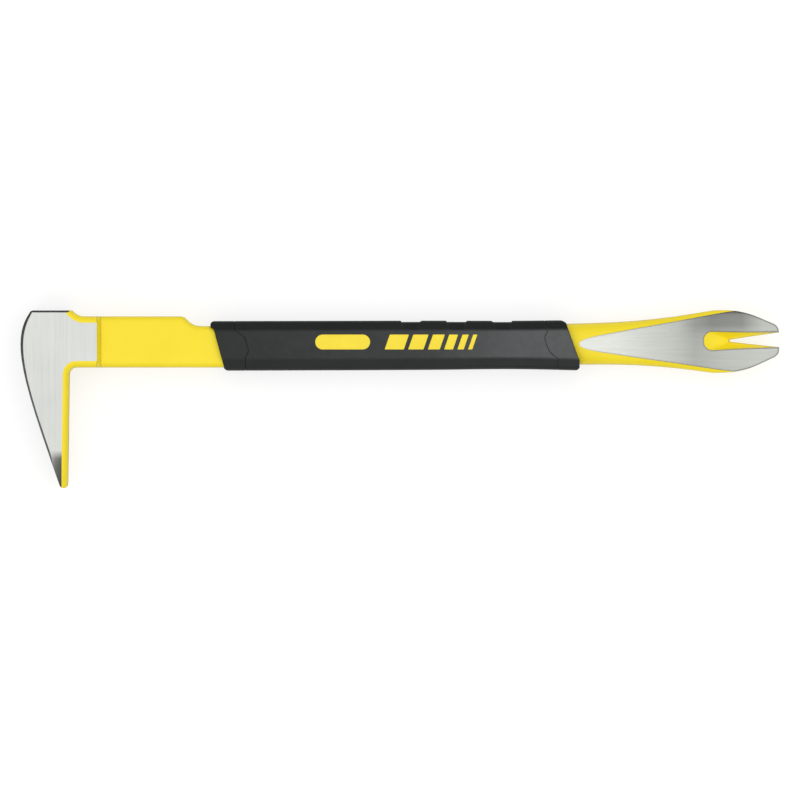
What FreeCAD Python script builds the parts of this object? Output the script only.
import FreeCAD, Part
import math
import os
from FreeCAD import Placement, Rotation, Vector

# A claw bar for pulling nails: one steel forging with a hooked claw at the left end and a flat forked claw at
# the right end, and a moulded grip round its shank made of two end collars, a sleeve between them and two
# flush coloured labels.
#
# The design frame, in millimetres: +X runs along the bar from the hook to the fork, +Y points away from the
# hook's tip, Z is the thickness, and the neck's axis is the X axis. placed() moves the pieces to the part's
# own frame, where the bar lies on the ground side of its head with z = 0 underneath.

LENGTH = 355.0
RIGHT = LENGTH / 2

# Hook: a block with ground sides, its claw pointing down and its striking face on top
HEAD_WIDTH = 23.0
STRIKE_Y = 17.05
TIP_Y, TIP_R = -66.0, 2.0
INNER_X, INNER_LEAN = -154.4, 0.75
TAPER_Y, TAPER_TIP_HALF = -48.0, 5.6
CORNER_R = 3.2
FORGED_R = 3.0
GROUND_EDGE = 0.95
HEAD_END_X, HEAD_RAMP = -141.5, 1.8
STEP_START_X, STEP_R = -147.4, 7.3

# Neck and shank
NECK_THICK = 16.0
NECK_TOP, NECK_BOTTOM = 14.3, -9.6
NECK_EDGE_R = 2.8
SHANK_TOP = 9.75
SHOULDER_X, SHOULDER_R, SHOULDER_CREST_R = -92.9, 8.9, 3.1
NECK_END_X = -79.0

# Waist and fork as forged: x, half width, half thickness, height of the mid plane, squareness of the section
WAIST_SECTIONS = [
    (-83.0, 9.4, 7.6, 0.0, 4.0),
    (-70.0, 8.8, 7.0, 0.0, 4.0),
    (58.0, 8.9, 6.2, 0.0, 2.4),
]
FORK_SECTIONS = [
    (58.0, 8.9, 6.2, 0.0, 2.4),
    (74.0, 9.5, 6.45, 0.0, 2.3),
    (90.0, 9.72, 6.4, 0.0, 2.2),
    (106.0, 10.15, 6.0, 0.0, 2.2),
    (122.0, 11.35, 5.2, 0.0, 2.2),
    (137.0, 13.2, 4.2, 0.17, 2.2),
    (150.0, 15.0, 3.15, 0.5, 2.2),
    (164.0, 15.4, 2.1, 1.15, 2.2),
    (RIGHT + 3, 12.0, 1.2, 2.1, 2.2),
]
AXIS_X, AXIS_RISE, FORK_TILT = 80.0, 1.3, 1.05
FORK_TURN = Rotation(Vector(0, 0, 1), FORK_TILT)
# Ground face of the fork in side view, as (x, z): it starts on the shank's crown and dishes to the tips
GROUND_CURVE = [
    (78.0, 6.72),
    (89.0, 6.2),
    (103.0, 5.3),
    (117.5, 4.0),
    (132.0, 2.93),
    (149.0, 2.15),
    (168.0, 2.0),
    (182.0, 2.7),
]
# Outline of the fork's end: widest point, radius of its shoulders, angle of its sides, then the
# straight stretch before the widest point and the radius of the blunt tips
FORK_WIDEST_X, FORK_HALF, FORK_SHOULDER_R, FORK_SIDE_ANGLE = 151.5, 14.6, 40.0, 24.0
FORK_STRAIGHT, FORK_TIP_R = 7.0, 4.0

# Nail slots: a round-ended outline on the working face that closes to a V on the sloping back, which is
# given by its height at the tips and its slope
SLOT_HALF, SLOT_MOUTH_HALF, SLOT_ROOT_R = 4.45, 3.5, 4.2
VEE_MOUTH_HALF, VEE_ROOT_R, VEE_ROOT_FLAT = 3.4, 0.4, 0.15
FORK_SLOT, FORK_VEE, FORK_FACE_Z, FORK_BACK_Z, FORK_BACK_SLOPE = 35.2, 23.0, 2.3, 0.6, 0.119
FORK_SLOT_RISE = 0.3
HOOK_SLOT, HOOK_VEE, HOOK_BACK_Z, HOOK_BACK_SLOPE = 27.0, 18.0, -4.0, 0.36
OVERRUN, SLOT_CLEARANCE = 6.0, 15.0

# Grip: stations as (x, top, bottom, half thickness) of its eight-sided section
GRIP_STATIONS = [
    (-94.0, 12.0, -11.05, 10.6),
    (-57.0, 12.1, -10.92, 10.35),
    (-20.0, 12.18, -10.8, 10.1),
    (17.0, 12.25, -10.6, 9.9),
    (54.0, 12.2, -10.28, 9.75),
    (90.0, 12.6, -11.0, 10.2),
]
TOP_BEVEL, BOTTOM_BEVEL, FACE_BEVEL = 4.3, 5.4, 3.2
GRIP_EDGE_R = 1.6
PARTING_WIDTH, PARTING_DEPTH = 0.5, 0.5
FRONT_PARTING = [(-77.4, 14), (-77.2, 8.1), (-72.4, 4.6), (-70.5, -1.9), (-72.1, -5.1), (-71.8, -14)]
REAR_PARTING = [
    (67.8, 14),
    (68.0, 10.2),
    (69.3, 7.6),
    (67.7, 4.6),
    (69.0, 0.1),
    (70.4, -2.6),
    (73.9, -5.4),
    (74.1, -14),
]
RECESS_X, RECESS_PITCH, RECESS_COUNT, RECESS_DEPTH = 0.45, 21.35, 3, 0.6
RECESS_LENGTH, RECESS_NARROWING, RECESS_TOP_Y, RECESS_LOW_Y = 9.6, 1.9, 12.2, 8.1
LABEL_DEPTH = 0.3
PANEL_X, PANEL_Y, PANEL_LENGTH, PANEL_HEIGHT = -26.6, 2.3, 25.7, 7.0
STRIPE_X, STRIPE_GAP, STRIPE_LEAN = -7.0, 2.0, 2.4
STRIPE_WIDTHS = [9.0, 7.2, 5.6, 4.2, 3.0, 2.0]

FAR = 60.0


def placed(shapes):
    """The shapes moved to the part's frame, its origin under the middle of the whole bar."""
    box = shapes["forged_bar"].optimalBoundingBox(False)
    shift = Vector(-box.Center.x, -box.Center.y, -box.ZMin)
    return {node: shape.translated(shift) for node, shape in shapes.items()}


def closed_wire(start, *steps):
    """A closed wire: each step is an end point, an arc as (via, end) or a curve as (pole, pole, end)."""
    edges = []
    here = start
    for step in [*steps, start]:
        if isinstance(step, Vector):
            end = step
            if (end - here).Length > 1e-6:
                edges.append(Part.makeLine(here, end))
        elif len(step) == 2:
            end = step[1]
            edges.append(Part.Arc(here, *step).toShape())
        else:
            end = step[2]
            curve = Part.BezierCurve()
            curve.setPoles([here, *step])
            edges.append(curve.toShape())
        here = end
    return Part.Wire(edges)


def slab(wire, direction):
    """The solid that a flat closed wire sweeps along a direction."""
    return Part.Face(wire).extrude(direction)


def polar(centre, radius, degrees):
    """A point on a circle in the XY plane."""
    angle = math.radians(degrees)
    return centre + Vector(radius * math.cos(angle), radius * math.sin(angle), 0)


def rounded(shape, radius, wanted):
    """The shape with every edge rounded whose middle satisfies the condition."""
    edges = [e for e in shape.Edges if wanted(e.valueAt((e.FirstParameter + e.LastParameter) / 2))]
    return shape.makeFillet(radius, edges)


def axis_y(x):
    """Height of the bar's axis: level at the neck, rising a little under the grip, tilted at the fork."""
    start = WAIST_SECTIONS[0][0]
    if x < AXIS_X:
        return AXIS_RISE * max(0.0, (x - start) / (AXIS_X - start))
    return AXIS_RISE + (x - AXIS_X) * math.tan(math.radians(FORK_TILT))


# ---------------------------------------------------------------- forging


def raw_head():
    """The head as forged: a block with a concave step on top, its claw tapering to the tip, edges rounded."""
    half = HEAD_WIDTH / 2
    left, low = -FAR - RIGHT, TIP_Y - 1.5
    corner = Vector(INNER_X + CORNER_R, NECK_BOTTOM - CORNER_R, -half)
    step = Vector(STEP_START_X, NECK_TOP + STEP_R, -half)
    step_end = 270 - math.degrees(math.acos(1 - (STRIKE_Y - NECK_TOP) / STEP_R))
    lean = math.atan2(INNER_LEAN, corner.y - TIP_Y)
    bend = polar(corner, CORNER_R, 180 - math.degrees(lean))
    foot = Vector(bend.x - (bend.y - low) * math.tan(lean), low, -half)
    side = slab(
        closed_wire(
            Vector(HEAD_END_X, NECK_TOP, -half),
            Vector(STEP_START_X, NECK_TOP, -half),
            (polar(step, STEP_R, (270 + step_end) / 2), polar(step, STEP_R, step_end)),
            Vector(left, STRIKE_Y, -half),
            Vector(left, low, -half),
            foot,
            bend,
            (polar(corner, CORNER_R, 135), polar(corner, CORNER_R, 90)),
            Vector(HEAD_END_X, NECK_BOTTOM, -half),
        ),
        Vector(0, 0, HEAD_WIDTH),
    )
    drop, narrowing = TAPER_Y - TIP_Y, half - TAPER_TIP_HALF
    radius = (drop**2 + narrowing**2) / (2 * narrowing)
    end_angle = math.degrees(math.asin((TAPER_Y - low) / radius))
    plan_points = []
    for degrees in (0, end_angle / 2, end_angle):
        turned = math.radians(degrees)
        plan_points.append((TAPER_Y - radius * math.sin(turned), half - radius * (1 - math.cos(turned))))
    (y0, z0), (y1, z1), (y2, z2) = plan_points
    plan = slab(
        closed_wire(
            Vector(left, STRIKE_Y + 5, z0),
            Vector(left, y0, z0),
            (Vector(left, y1, z1), Vector(left, y2, z2)),
            Vector(left, y2, -z2),
            (Vector(left, y1, -z1), Vector(left, y0, -z0)),
            Vector(left, STRIKE_Y + 5, -z0),
        ),
        Vector(RIGHT, 0, 0),
    )

    def forged_edge(p):
        under = p.y < NECK_BOTTOM + 0.01 and p.x > foot.x - 0.01
        stepped = p.y < STRIKE_Y - 0.01 and p.y > NECK_TOP - 0.01 and p.x > left + 1
        return (under or stepped) and abs(p.z) > 1 and p.x < HEAD_END_X - 0.01 and p.y > low + 0.01

    return rounded(side.common(plan), FORGED_R, forged_edge)


def ground_envelope():
    """What grinding leaves of the head: striking face, rocker back and tip in side view, edges broken."""
    half = HEAD_WIDTH / 2
    tip = Vector(INNER_X - INNER_LEAN - TIP_R, TIP_Y + TIP_R, -half)
    wire = closed_wire(
        Vector(-60, STRIKE_Y, -half),
        Vector(-170.96, STRIKE_Y, -half),
        (Vector(-171.994, 16.943, -half), Vector(-172.79, 16.23, -half)),
        (Vector(-179.45, 6.54, -half), Vector(-179.3, -5.2, -half), Vector(-167.36, -40.44, -half)),
        polar(tip, TIP_R, 199.0),
        (polar(tip, TIP_R, 270), polar(tip, TIP_R, 359)),
        Vector(-60, tip.y, -half),
    )
    block = slab(wire, Vector(0, 0, HEAD_WIDTH))
    edges = [
        e
        for e in block.Edges
        if abs(abs(e.CenterOfMass.z) - half) < 0.01 and e.CenterOfMass.x < -100 and e.CenterOfMass.y > TIP_Y + 1
        or abs(e.CenterOfMass.y - STRIKE_Y) < 0.01 and abs(abs(e.CenterOfMass.z) - half) < 0.01
    ]
    return block.makeChamfer(GROUND_EDGE, edges)


def rounded_section(x, half, radius):
    """A rounded rectangle across the bar, from the neck's underside to its top."""
    top, low = NECK_TOP, NECK_BOTTOM
    diagonal = radius * (1 - math.sqrt(0.5))
    return closed_wire(
        Vector(x, top, -half + radius),
        Vector(x, top, half - radius),
        (Vector(x, top - diagonal, half - diagonal), Vector(x, top - radius, half)),
        Vector(x, low + radius, half),
        (Vector(x, low + diagonal, half - diagonal), Vector(x, low, half - radius)),
        Vector(x, low, -half + radius),
        (Vector(x, low + diagonal, -half + diagonal), Vector(x, low + radius, -half)),
        Vector(x, top - radius, -half),
        (Vector(x, top - diagonal, -half + diagonal), Vector(x, top, -half + radius)),
    )


def head_ramp():
    """The short slope where the head narrows to the neck."""
    wide = rounded_section(HEAD_END_X, HEAD_WIDTH / 2, FORGED_R)
    narrow = rounded_section(HEAD_END_X + HEAD_RAMP, NECK_THICK / 2, NECK_EDGE_R)
    return Part.makeLoft([wide, narrow], True, True)


def neck():
    """The raised neck and the start of the shank, joined on top by a curved shoulder."""
    z = -NECK_THICK / 2
    start = HEAD_END_X + HEAD_RAMP
    hollow = Vector(SHOULDER_X, SHANK_TOP + SHOULDER_R, z)
    crest_y = NECK_TOP - SHOULDER_CREST_R
    reach = SHOULDER_R + SHOULDER_CREST_R
    crest = Vector(SHOULDER_X - math.sqrt(reach**2 - (hollow.y - crest_y) ** 2), crest_y, z)
    turn = math.degrees(math.atan2(hollow.y - crest.y, hollow.x - crest.x))
    bar = slab(
        closed_wire(
            Vector(start, NECK_TOP, z),
            Vector(crest.x, NECK_TOP, z),
            (polar(crest, SHOULDER_CREST_R, (90 + turn) / 2), polar(crest, SHOULDER_CREST_R, turn)),
            (polar(hollow, SHOULDER_R, (180 + turn + 270) / 2), polar(hollow, SHOULDER_R, 270)),
            Vector(NECK_END_X, SHANK_TOP, z),
            Vector(NECK_END_X, NECK_BOTTOM, z),
            Vector(start, NECK_BOTTOM, z),
        ),
        Vector(0, 0, NECK_THICK),
    )
    return rounded(bar, NECK_EDGE_R, lambda p: abs(p.z) > 1 and start < p.x < NECK_END_X)


def forged_section(x, half_width, half_thick, mid_z, squareness):
    """A rounded section across the waist or fork, running from an oval towards a rectangle."""
    points = []
    count = 40
    for index in range(count):
        angle = 2 * math.pi * index / count
        across, up = math.cos(angle), math.sin(angle)
        y = math.copysign(abs(across) ** (2 / squareness), across) * half_width
        z = math.copysign(abs(up) ** (2 / squareness), up) * half_thick
        points.append(Vector(x, axis_y(x) + y, mid_z + z))
    curve = Part.BSplineCurve()
    curve.interpolate(Points=points, PeriodicFlag=True)
    return Part.Wire([curve.toShape()])


def fork_plan():
    """Everything the trimmed outline of the fork's end encloses, seen square to its face."""
    z = -FAR
    turned = math.radians(FORK_SIDE_ANGLE)
    end_x = FORK_WIDEST_X + FORK_SHOULDER_R * math.sin(turned)
    end_y = FORK_HALF - FORK_SHOULDER_R * (1 - math.cos(turned))
    mid_x = FORK_WIDEST_X + FORK_SHOULDER_R * math.sin(turned / 2)
    mid_y = FORK_HALF - FORK_SHOULDER_R * (1 - math.cos(turned / 2))
    tip_y = end_y - (RIGHT - end_x) * math.tan(turned)
    tip_turn = 90 - FORK_SIDE_ANGLE
    tip = Vector(RIGHT - FORK_TIP_R, tip_y - FORK_TIP_R * math.tan(math.radians(tip_turn / 2)), z)
    low_tip = Vector(tip.x, -tip.y, z)
    far_x = -2 * RIGHT
    outline = closed_wire(
        polar(tip, FORK_TIP_R, 0),
        (polar(tip, FORK_TIP_R, tip_turn / 2), polar(tip, FORK_TIP_R, tip_turn)),
        Vector(end_x, end_y, z),
        (Vector(mid_x, mid_y, z), Vector(FORK_WIDEST_X, FORK_HALF, z)),
        Vector(FORK_WIDEST_X - FORK_STRAIGHT, FORK_HALF, z),
        Vector(FORK_WIDEST_X - 2 * FORK_STRAIGHT, FORK_HALF + OVERRUN, z),
        Vector(far_x, FORK_HALF + OVERRUN, z),
        Vector(far_x, -FORK_HALF - OVERRUN, z),
        Vector(FORK_WIDEST_X - 2 * FORK_STRAIGHT, -FORK_HALF - OVERRUN, z),
        Vector(FORK_WIDEST_X - FORK_STRAIGHT, -FORK_HALF, z),
        Vector(FORK_WIDEST_X, -FORK_HALF, z),
        (Vector(mid_x, -mid_y, z), Vector(end_x, -end_y, z)),
        polar(low_tip, FORK_TIP_R, -tip_turn),
        (polar(low_tip, FORK_TIP_R, -tip_turn / 2), polar(low_tip, FORK_TIP_R, 0)),
    )
    plan = slab(outline, Vector(0, 0, 2 * FAR))
    plan.Placement = Placement(Vector(0, axis_y(RIGHT), 0), FORK_TURN, Vector(RIGHT, 0, 0))
    return plan


def ground_off():
    """What grinding takes off the fork's working face."""
    curve = Part.BSplineCurve()
    curve.interpolate([Vector(x, -FAR, z) for x, z in GROUND_CURVE])
    (x0, _), (x1, _) = GROUND_CURVE[0], GROUND_CURVE[-1]
    first, last = curve.StartPoint, curve.EndPoint
    edges = [
        curve.toShape(),
        Part.makeLine(last, Vector(x1, -FAR, FAR)),
        Part.makeLine(Vector(x1, -FAR, FAR), Vector(x0, -FAR, FAR)),
        Part.makeLine(Vector(x0, -FAR, FAR), first),
    ]
    return slab(Part.Wire(edges), Vector(0, 2 * FAR, 0))


def slot_wire(z, slope, length, root_r, root_half, mouth_half):
    """A slot outline opening towards +X, its tips at x = 0 and height z, its plane sloping along X."""
    spread = (root_half - mouth_half) / (length - root_r)
    mouth = mouth_half - spread * OVERRUN
    lean = math.atan2(root_half - mouth, length - root_r + OVERRUN)
    centre_x, corner_y = -length + root_r, root_half - root_r

    def at(x, y):
        return Vector(x, y, z + slope * x)

    def around(angle, side):
        return at(centre_x + root_r * math.sin(angle), side * (corner_y + root_r * math.cos(angle)))

    return closed_wire(
        at(OVERRUN, mouth),
        around(lean, 1),
        (around(-math.pi / 4, 1), at(-length, corner_y)),
        at(-length, -corner_y),
        (around(-math.pi / 4, -1), around(lean, -1)),
        at(OVERRUN, -mouth),
    )


def nail_slot(face_z, back_z, back_slope, slot, vee):
    """A nail slot to cut away, in its own frame: tips at x = 0, working face up."""
    face = slot_wire(face_z, 0.0, slot, SLOT_ROOT_R, SLOT_HALF, SLOT_MOUTH_HALF)
    back = slot_wire(back_z, back_slope, vee, VEE_ROOT_R, VEE_ROOT_R + VEE_ROOT_FLAT, VEE_MOUTH_HALF)
    above, below = face.copy(), back.copy()
    above.translate(Vector(0, 0, SLOT_CLEARANCE))
    below.translate(Vector(0, 0, -SLOT_CLEARANCE))
    return Part.makeLoft([below, back, face, above], True, True)


def forged_bar():
    """The whole forging, ground and slotted."""
    head = raw_head().common(ground_envelope())
    waist = Part.makeLoft([forged_section(*section) for section in WAIST_SECTIONS], True, True)
    fork = Part.makeLoft([forged_section(*section) for section in FORK_SECTIONS], True, False)
    fork = fork.common(fork_plan()).cut(ground_off())
    fork_slot = nail_slot(FORK_FACE_Z, FORK_BACK_Z, FORK_BACK_SLOPE, FORK_SLOT, FORK_VEE)
    fork_slot.Placement = Placement(Vector(RIGHT, axis_y(RIGHT) + FORK_SLOT_RISE, 0), FORK_TURN)
    hook_slot = nail_slot(0.0, HOOK_BACK_Z, HOOK_BACK_SLOPE, HOOK_SLOT, HOOK_VEE)
    turned = Rotation(Vector(0, -1, 0), Vector(0, 0, 1), Vector(1, 0, 0))
    hook_slot.Placement = Placement(Vector(INNER_X - INNER_LEAN, TIP_Y, 0), turned)
    return head.fuse([head_ramp(), neck(), waist, fork]).cut([fork_slot, hook_slot])


# ---------------------------------------------------------------- grip


def grip_section(x, top, low, half, inset):
    """The eight-sided section of the grip at one station, shrunk by the inset."""
    cut = inset * (math.sqrt(2) - 1)
    top_y, low_y, side_z = top - inset, low + inset, half - inset
    shoulder_y, hip_y = top - TOP_BEVEL - cut, low + BOTTOM_BEVEL + cut
    ridge_z = half - FACE_BEVEL - cut
    corners = [
        (top_y, -ridge_z),
        (top_y, ridge_z),
        (shoulder_y, side_z),
        (hip_y, side_z),
        (low_y, ridge_z),
        (low_y, -ridge_z),
        (hip_y, -side_z),
        (shoulder_y, -side_z),
    ]
    return Part.makePolygon([Vector(x, y, z) for y, z in corners + corners[:1]])


def grip_loft(inset):
    """The grip's long outer shape, shrunk by the inset, before its ends are cut."""
    return Part.makeLoft([grip_section(*station, inset) for station in GRIP_STATIONS], True, False)


def grip_ends():
    """The side outline of the grip: its slanted ends, wide open above and below."""
    z = -FAR
    return slab(
        closed_wire(
            Vector(-88.2, 20, z),
            Vector(-88.2, 9.4, z),
            Vector(-87.0, 8.6, z),
            Vector(-82.2, -9.05, z),
            Vector(-81.2, -20, z),
            Vector(84.1, -20, z),
            Vector(84.1, -7.4, z),
            Vector(78.2, 10.6, z),
            Vector(76.8, 20, z),
        ),
        Vector(0, 0, 2 * FAR),
    )


def grip_blank():
    """The whole grip without its bore, grooves or labels."""
    long_shape = grip_loft(0)
    stations = [x for x, *_ in GRIP_STATIONS]
    soft = rounded(long_shape, GRIP_EDGE_R, lambda p: all(abs(p.x - x) > 0.01 for x in stations))
    return soft.common(grip_ends())


def beyond(line, side_x, shift):
    """Everything on one side of a parting line, the line shifted along X."""
    points = [Vector(x + shift, y, -FAR) for x, y in line]
    points += [Vector(side_x, line[-1][1], -FAR), Vector(side_x, line[0][1], -FAR)]
    return slab(Part.makePolygon(points + points[:1]), Vector(0, 0, 2 * FAR))


def parting_groove(line, skin):
    """The fine groove along one parting line."""
    half = PARTING_WIDTH / 2
    there = [Vector(x - half, y, -FAR) for x, y in line]
    back = [Vector(x + half, y, -FAR) for x, y in reversed(line)]
    band = slab(Part.makePolygon(there + back + there[:1]), Vector(0, 0, 2 * FAR))
    return band.common(skin)


def recess(x):
    """One finger recess across the top, narrower lower down, its floor parallel to the grip's surface."""
    slope = RECESS_NARROWING / (RECESS_TOP_Y - RECESS_LOW_Y)
    high_y = FAR
    spread = slope * (high_y - RECESS_TOP_Y)
    window = slab(
        closed_wire(
            Vector(x + RECESS_NARROWING, RECESS_LOW_Y, -FAR),
            Vector(x + RECESS_LENGTH - RECESS_NARROWING, RECESS_LOW_Y, -FAR),
            Vector(x + RECESS_LENGTH + spread, high_y, -FAR),
            Vector(x - spread, high_y, -FAR),
        ),
        Vector(0, 0, 2 * FAR),
    )
    return window.cut(grip_loft(RECESS_DEPTH))


def label(outline, skin):
    """A label filling the given outline, as deep as the skin, on the front face."""
    return slab(outline, Vector(0, 0, FAR)).common(skin)


def panel_outline():
    """A plain round-ended panel."""
    radius = PANEL_HEIGHT / 2
    reach = PANEL_LENGTH / 2 - radius
    right, left = Vector(PANEL_X + reach, PANEL_Y, 0), Vector(PANEL_X - reach, PANEL_Y, 0)
    return closed_wire(
        polar(left, radius, 90),
        polar(right, radius, 90),
        (polar(right, radius, 0), polar(right, radius, -90)),
        polar(left, radius, -90),
        (polar(left, radius, 180), polar(left, radius, 90)),
    )


def stripe_outlines():
    """Slanted bars in a row, each narrower than the last."""
    outlines = []
    x = STRIPE_X
    half = PANEL_HEIGHT / 2
    for width in STRIPE_WIDTHS:
        low, high = PANEL_Y - half, PANEL_Y + half
        corners = [
            Vector(x, low, 0),
            Vector(x + width, low, 0),
            Vector(x + width + STRIPE_LEAN, high, 0),
            Vector(x + STRIPE_LEAN, high, 0),
        ]
        outlines.append(Part.makePolygon(corners + corners[:1]))
        x += width + STRIPE_GAP
    return outlines


def grip_pieces(bar):
    """The collars, the sleeve and the labels, moulded round the bar."""
    body = grip_blank().cut(bar)
    groove_skin = grip_loft(-1).cut(grip_loft(PARTING_DEPTH))
    label_skin = body.cut(grip_loft(LABEL_DEPTH))
    panel = label(panel_outline(), label_skin)
    stripes = [label(outline, label_skin) for outline in stripe_outlines()]
    grooves = [parting_groove(FRONT_PARTING, groove_skin), parting_groove(REAR_PARTING, groove_skin)]
    recesses = [recess(RECESS_X + index * RECESS_PITCH) for index in range(RECESS_COUNT)]
    body = body.cut(grooves)
    front = body.common(beyond(FRONT_PARTING, -2 * RIGHT, 0))
    rear = body.common(beyond(REAR_PARTING, 2 * RIGHT, 0))
    sleeve = body.cut([beyond(FRONT_PARTING, -2 * RIGHT, 0), beyond(REAR_PARTING, 2 * RIGHT, 0)])
    sleeve = sleeve.cut([*recesses, panel, *stripes])
    return {
        "front_collar": front,
        "grip_sleeve": sleeve,
        "rear_collar": rear,
        "badge_panel": panel,
        "badge_bars": Part.makeCompound(stripes),
    }


def build():
    bar = forged_bar()
    return {"forged_bar": bar, **grip_pieces(bar)}


if __name__ == "__main__":
    os.makedirs("parts", exist_ok=True)
    for node, shape in placed(build()).items():
        shape.exportStep(f"parts/{node}.step")
